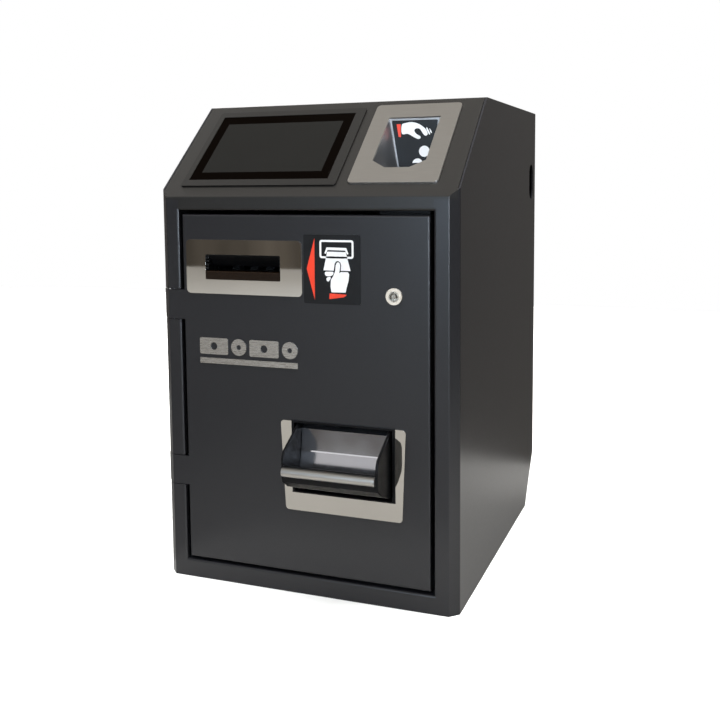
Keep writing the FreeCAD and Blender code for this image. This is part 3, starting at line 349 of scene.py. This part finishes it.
GLASS_ACTIVE = pane("screen_active", (0.0072, 0.0070, 0.0064), 0.22, 0.05)
LABEL_BLACK = moulded("label_black", (0.0035, 0.0035, 0.004), 0.34, Specular_IOR_Level=0.3)
LABEL_WHITE = moulded("label_white", (0.86, 0.86, 0.86), 0.40)
LABEL_RED = moulded("label_red", (0.80, 0.045, 0.012), 0.36)
LENS = moulded("smoked_lens", (0.0085, 0.0038, 0.0014), 0.16, Specular_IOR_Level=0.25)
RUBBER = moulded("roller_rubber", (0.030, 0.030, 0.030), 0.62)
PAPER = moulded("banknote_paper", (0.42, 0.47, 0.40), 0.70)
ORANGE = moulded("disc_plastic", (0.62, 0.10, 0.03), 0.38)
CASH_PAINT = powder("cash_box_paint", (0.10, 0.105, 0.11), 0.42)
BOARD = moulded("soldermask_green", (0.018, 0.085, 0.035), 0.34)
STEEL_DARK = brushed("dark_steel", (0.33, 0.33, 0.34), 0.40, "z", 150)

LOOKS = (
    (PAINT, "left_side_panel right_side_panel base_plate rear_panel connector_panel door_panel"),
    (PAINT_TOP_WARM_LIGHT, "fascia_and_roof"),
    (PAINT_FRAME, "screen_frame"),
    (ZINC, "door_stiffener shelf validator_bracket exit_chute lock_nut rear_panel_screws"),
    (ZINC, "network_port usb_ports"),
    (ZINC_Z, "hinge_brackets divider hopper_stand lock_cam"),
    (MIRROR, "note_bezel tray_plate"),
    (CHUTE, "coin_chute"),
    (BRUSHED_X, "tray_handle cash_box_handles fan_guard"),
    (BRUSHED_COIN, "coin_bezel"),
    (BADGE, "badge"),
    (LOCK, "lock_barrel board_standoffs inlet_pins"),
    (LOCK_DARK, "lock_plug"),
    (FUNNEL, "coin_funnel"),
    (BLACK, "note_throat fan_frame fan_rotor power_inlet switch_housing switch_rocker"),
    (BLACK, "note_validator coin_validator"),
    (BLACK_SATIN, "tray_frame tray_cup"),
    (GREY, "note_store note_cash_box"),
    (BLUE_GREY, "coin_hopper"),
    (GLASS_BLACK, "touch_glass"),
    (LABEL_BLACK, "note_label coin_label"),
    (LENS, "note_lip"),
    (RUBBER, "feed_roller_upper feed_roller_lower"),
    (PAPER, "note_drum"),
    (ORANGE, "coin_disc"),
    (CASH_PAINT, "coin_cash_box"),
    (BOARD, "controller_board"),
    (STEEL_DARK, "power_supply hinge_pins display_module coin_motor"),
)
BEVELS = (
    (0.15, "network_port usb_ports"),
    (0.2, "controller_board"),
    (0.25, "coin_chute"),
    (0.3, "badge note_throat"),
    (0.35, "note_bezel tray_plate"),
    (0.4, "exit_chute switch_rocker lock_cam switch_housing rear_panel_screws hopper_stand"),
    (0.5, "screen_frame coin_bezel tray_cup coin_cash_box divider power_inlet lock_nut"),
    (0.6, "tray_frame door_stiffener shelf validator_bracket fan_frame"),
    (0.8, "note_cash_box power_supply coin_motor display_module"),
    (1.0, "note_validator note_store coin_validator"),
    (1.2, "coin_hopper"),
)


def by_node(table):
    """The value that a table of (value, node names) gives to each node."""
    return {name: value for value, names in table for name in names.split()}


def dress(node, material, bevel):
    """Give a CAD node its material, and a small bevel where its edges are sharp."""
    node.data.materials.clear()
    node.data.materials.append(material)
    if bevel is None:
        return
    if node.data.has_custom_normals:
        with bpy.context.temp_override(object=node, active_object=node, selected_objects=[node]):
            bpy.ops.mesh.customdata_custom_splitnormals_clear()
    node.modifiers.new("weld", "WELD").merge_threshold = WELD_DISTANCE
    add_bevel(node, bevel)


look_of, bevel_of = by_node(LOOKS), by_node(BEVELS)
for name, node in NODES.items():
    dress(node, look_of[name], bevel_of.get(name))

# ---------------------------------------------------------------- touch screen

# Boxes on the slope in mm: left, right, lower and upper edge.
glass_low, glass_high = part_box("touch_glass")
SCREEN = (glass_low.x / MM, glass_high.x / MM, 27.2, 142.3)
LIT_AREA = (-135.0, 13.4, 40.0, 128.5)
GLASS_TOP = 1.5
GLASS_EDGE = 0.4
EDGE_DROP = 0.3

outer = rounded(rect(*SCREEN), radius=1.2, steps=3)
edge = rounded(rect(*inset(SCREEN, GLASS_EDGE)), radius=1.0, steps=3)
window = rounded(rect(*LIT_AREA), radius=0.4, steps=3)
levels = ((outer, 0.0), (outer, GLASS_TOP - EDGE_DROP), (edge, GLASS_TOP), (window, GLASS_TOP))

bm = bmesh.new()
loops = [[bm.verts.new(on_slope(u, v, w)) for u, v in line] for line, w in levels]
join_loops(bm, loops)
bm.faces.new(loops[0][::-1])
bm.faces.new(loops[-1]).material_index = 1
glass = finish_piece("touch_screen_glass", bm, [GLASS_BLACK, GLASS_ACTIVE], "cabinet",
                     hard_angle=20)
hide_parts("touch_glass")

# ---------------------------------------------------------------- labels

# Outlines are in mm: x and height. A label's face is given in mm out of the surface behind it.
NOTE_LABEL_FACE = 0.4
COIN_LABEL_FACE = 0.0
FILM = 0.08

MOUTH_OUTER = rounded(rect(23.0, 62.0, 375.5, 395.0), radius=2.6, steps=5)
MOUTH_INNER = rounded(rect(25.2, 59.8, 377.6, 392.9), radius=1.0, steps=5)
MOUTH_LIP = rounded([
    (28.6, 380.8), (30.4, 380.2), (32.4, 384.4), (52.4, 384.0), (54.6, 379.6), (56.2, 380.4),
    (53.8, 386.8), (31.2, 387.2),
], radius=0.6, steps=3)
NOTE = [
    (27.4, 362.6), (31.9, 382.6), (53.0, 382.4), (58.4, 362.6), (47.2, 362.5), (47.8, 368.2),
    (46.9, 371.2), (44.4, 372.9), (41.9, 372.3), (40.3, 369.9), (39.2, 362.4),
]
HAND = rounded([
    (40.9, 362.0), (41.5, 368.2), (42.8, 371.0), (44.6, 371.6), (46.2, 370.2), (46.7, 367.8),
    (45.9, 362.2), (44.9, 356.6), (47.0, 361.2), (55.4, 361.2), (56.8, 359.0), (56.0, 352.0),
    (53.9, 345.0), (52.6, 339.4), (36.4, 339.2), (35.4, 345.4), (35.9, 352.6), (38.6, 356.6),
], radius=0.5, steps=2)
UPPER_FINGER = smooth_loop([
    (29.6, 360.9), (29.0, 358.8), (30.6, 356.6), (35.2, 356.4), (38.2, 358.2), (38.6, 361.0),
    (34.0, 361.2),
])
LOWER_FINGER = smooth_loop([
    (31.0, 354.4), (30.8, 352.2), (32.6, 350.6), (34.6, 352.4), (35.6, 355.2), (33.2, 355.4),
])
ARROW = [(7.9, 364.0), (17.0, 330.4), (17.2, 396.4)]
SLEEVE = rounded([(33.8, 331.8), (34.2, 338.0), (54.6, 337.2), (50.6, 334.4)], radius=0.5, steps=2)

PALM = smooth_loop([
    (83.2, 519.4), (88.0, 521.6), (95.0, 522.4), (102.0, 520.6), (108.0, 517.2), (112.0, 513.2),
    (113.6, 508.8), (111.4, 506.8), (108.6, 508.6), (106.0, 512.6), (103.6, 515.0), (99.6, 515.0),
    (98.0, 512.6), (100.4, 509.2), (104.6, 506.6), (105.2, 504.6), (102.6, 503.4), (97.4, 505.6),
    (90.4, 509.4), (83.4, 509.6),
], steps=4)
MIDDLE_FINGER = smooth_loop([
    (112.6, 516.2), (114.6, 513.0), (116.4, 508.8), (115.2, 508.2), (113.6, 511.0), (112.0, 514.6),
])
RING_FINGER = smooth_loop([
    (115.6, 515.0), (117.6, 512.6), (118.4, 510.2), (117.4, 509.8), (116.2, 511.8),
])
COIN = disc(109.6, 489.6, 6.2)
HALF_COIN = disc(101.6, 475.6, 6.2)[1:16]
CUFF = rounded([(77.0, 520.6), (81.8, 520.6), (82.2, 506.0), (79.4, 506.4)], radius=0.5, steps=2)


def add_prints(bm, outlines, place, face):
    """Thin plates of print on the face of a label."""
    for outline in outlines:
        add_prism(bm, outline, place, face, face + FILM)


bm = bmesh.new()
add_ring(bm, MOUTH_OUTER, MOUTH_INNER, on_front, NOTE_LABEL_FACE, NOTE_LABEL_FACE + FILM)
add_prints(bm, (MOUTH_LIP, NOTE, HAND, UPPER_FINGER, LOWER_FINGER), on_front, NOTE_LABEL_FACE)
finish_piece("note_label_white_print", bm, [LABEL_WHITE], "door")

bm = bmesh.new()
add_prints(bm, (ARROW, SLEEVE), on_front, NOTE_LABEL_FACE)
finish_piece("note_label_red_print", bm, [LABEL_RED], "door")

bm = bmesh.new()
add_prints(bm, (PALM, MIDDLE_FINGER, RING_FINGER, COIN, HALF_COIN), on_funnel_back, COIN_LABEL_FACE)
finish_piece("coin_label_white_print", bm, [LABEL_WHITE], "cabinet")

bm = bmesh.new()
add_prints(bm, (CUFF,), on_funnel_back, COIN_LABEL_FACE)
finish_piece("coin_label_red_print", bm, [LABEL_RED], "cabinet")

# ---------------------------------------------------------------- floor

CORNER_SHARE = 0.25
CORNER_STEPS = 8


def floor_sheet(name, x0, x1, y0, y1, shade, depth, seen=False):
    """One sheet of floor under the object, for the camera or for light and reflections."""
    corner = CORNER_SHARE * min(x1 - x0, y1 - y0)
    bm = bmesh.new()
    bm.faces.new([bm.verts.new((x, y, 0))
                  for x, y in rounded(rect(x0, x1, y0, y1), corner, CORNER_STEPS)])
    sheet = new_object(name, bm)
    look = Nodes(name, shade, rough=0.75, Specular_IOR_Level=0.0)
    look.mottle(scale=3, amount=0.01).bump(scale=30, strength=0.02, distance=0.5)
    sheet.data.materials.append(look.material)
    sheet.location.z = CAD_BOX[0][2] - depth
    sheet.visible_camera = seen
    sheet.visible_glossy = not seen
    sheet.visible_diffuse = not seen


# The camera sees one white sheet. Light and reflections take theirs from three greyer ones: a wide
# one, a darker one to the left of the object that is painted shade, and a lighter one under it and
# to its right that is a painted pool of light.
floor_sheet("floor", -3.2, 2.6, -2.0, 2.3, (0.88, 0.875, 0.86), 0.0001, seen=True)
floor_sheet("floor_below", -3.4, 1.3, -3.75, 0.33, (0.34, 0.333, 0.32), 0.0004)
floor_sheet("floor_painted_shade_left", -1.30, -0.36, -1.40, 0.20, (0.20, 0.195, 0.185), 0.0003)
floor_sheet("floor_painted_light_front", -0.20, 0.75, -0.40, 0.38, (0.66, 0.65, 0.63), 0.0002)

# ---------------------------------------------------------------- room

# White to the camera. For light and reflections it is dim and warm at the horizon, a little lighter
# at the back, lighter above, and streaked with upright bands.
HORIZON_FRONT = (0.115, 0.100, 0.084, 1)
HORIZON_BACK = (0.155, 0.146, 0.134, 1)
CEILING = (0.39, 0.375, 0.35, 1)
WHITE = (1, 1, 1, 1)
BAND_SCALE = 11
BAND_DETAIL = 4
BAND_STRETCH = (1, 1, 0.04)

world = bpy.data.worlds.new("studio")
bpy.context.scene.world = world
world.use_nodes = True
tree = world.node_tree
link = tree.links.new
direction = add_node(tree, "ShaderNodeTexCoord").outputs["Generated"]
parts = add_node(tree, "ShaderNodeSeparateXYZ")
link(direction, parts.inputs["Vector"])
bands = noise(tree, direction, BAND_SCALE, BAND_DETAIL, BAND_STRETCH)
strength = map_range(tree, bands, (0.35, 0.65), (0.6, 1.5))
rise = map_range(tree, parts.outputs["Z"], (-0.1, 1.0), (0.0, 1.0), interpolation_type="SMOOTHSTEP")
horizon = add_node(tree, "ShaderNodeMix", data_type="RGBA")
horizon.inputs["A"].default_value = HORIZON_FRONT
horizon.inputs["B"].default_value = HORIZON_BACK
link(parts.outputs["Y"], horizon.inputs["Factor"])
shade = add_node(tree, "ShaderNodeMix", data_type="RGBA")
shade.inputs["B"].default_value = CEILING
link(horizon.outputs["Result"], shade.inputs["A"])
link(rise, shade.inputs["Factor"])
room = tree.nodes["Background"]
link(shade.outputs["Result"], room.inputs["Color"])
link(strength, room.inputs["Strength"])
backdrop = add_node(tree, "ShaderNodeBackground", {"Color": WHITE})
choose = add_node(tree, "ShaderNodeMixShader")
link(add_node(tree, "ShaderNodeLightPath").outputs["Is Camera Ray"], choose.inputs["Fac"])
link(room.outputs["Background"], choose.inputs[1])
link(backdrop.outputs["Background"], choose.inputs[2])
link(choose.outputs["Shader"], tree.nodes["World Output"].inputs["Surface"])

# ---------------------------------------------------------------- lights

NEUTRAL = (1, 1, 1)
DAYLIGHT = (0.66, 0.82, 1.0)
PALE_DAYLIGHT = (0.76, 0.87, 1.0)


def area_light(name, place, aim, size, power, color=NEUTRAL, glossy=True, diffuse=True):
    """A rectangular lamp that the camera doesn't see."""
    data = bpy.data.lights.new(name, "AREA")
    data.shape = "RECTANGLE"
    data.size, data.size_y = size
    data.energy = power
    data.color = color
    light = bpy.data.objects.new(name, data)
    bpy.context.scene.collection.objects.link(light)
    light.location = place
    light.rotation_euler = (Vector(aim) - Vector(place)).to_track_quat("-Z", "Y").to_euler()
    light.visible_glossy = glossy
    light.visible_diffuse = diffuse
    light.visible_camera = False


area_light("overhead", (-0.3, -0.3, 2.6), (0, -0.1, 0), (3.4, 3.0), 180, glossy=False)
area_light("far_floor", (-1.8, -3.3, 2.2), (-1.8, -3.3, 0), (1.8, 1.8), 40, glossy=False)
area_light("near_side", (0.75, 0.0, 1.9), (0.55, -0.1, 0), (0.5, 0.5), 46, glossy=False)
area_light("window", (-0.10, -3.2, 0.95), (0.1, 0, 0.35), (0.8, 1.4), 38, DAYLIGHT)
area_light("side_window", (2.2, -2.4, 0.95), (0.17, -0.18, 0.3), (0.7, 1.9), 120, PALE_DAYLIGHT,
           diffuse=False)
area_light("wall", (-1.25, -3.3, 0.72), (0.05, -0.2, 0.15), (1.3, 0.46), 1.0)
area_light("back", (-2.2, 2.0, 1.9), (0, 0.1, 0.3), (1.8, 1.4), 60)
area_light("softbox", (-0.6, -2.0, 2.2), (0, -0.2, 0.15), (2.0, 0.9), 4.0)

# ---------------------------------------------------------------- camera

CAMERA_PLACE = (0.41963, -1.10393, 0.45629)
YAW, PITCH, ROLL = math.radians(20.890), math.radians(-5.367), math.radians(-0.4955)

camera_data = bpy.data.cameras.new("camera")
camera_data.lens = 47.01
camera_data.sensor_width = 36.0
camera_data.shift_y = -0.125
camera = bpy.data.objects.new("camera", camera_data)
bpy.context.scene.collection.objects.link(camera)
turn = Matrix.Rotation(YAW, 4, "Z")
turn = turn @ Matrix.Rotation(math.pi / 2 + PITCH, 4, "X") @ Matrix.Rotation(ROLL, 4, "Z")
camera.matrix_world = Matrix.Translation(CAMERA_PLACE) @ turn
bpy.context.scene.camera = camera
bpy.context.scene.view_settings.view_transform = "Standard"

bpy.context.view_layer.update()
